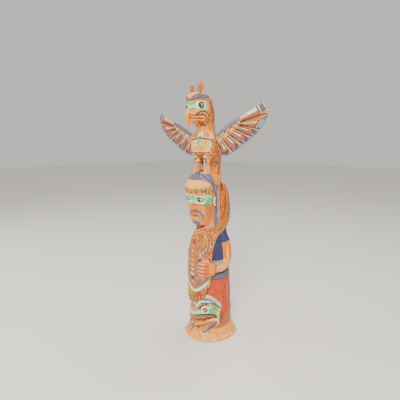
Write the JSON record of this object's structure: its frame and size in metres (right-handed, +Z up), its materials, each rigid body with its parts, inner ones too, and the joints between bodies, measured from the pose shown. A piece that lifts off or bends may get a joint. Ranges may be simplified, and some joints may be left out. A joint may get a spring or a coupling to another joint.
{
  "type": "model totem pole",
  "caption": "Carved and painted cedar totem pole: thunderbird with spread wings on a man who holds a fish, over a whale's head on a flared base.",
  "frame": {"origin": "middle of the flat underside of the base", "axes": "+Z up the pole, the figures face -Y, +X is the figures' left"},
  "size_m": [0.2614, 0.1222, 0.4973],
  "materials": {
    "painted_cedar": "hand-painted and varnished, satin",
    "painted_wing_board": "hand-painted and varnished, satin"
  },
  "bodies": {
    "root": {"pole": "painted_cedar", "left_wing": "painted_wing_board", "right_wing": "painted_wing_board"}
  },
  "joints": []
}
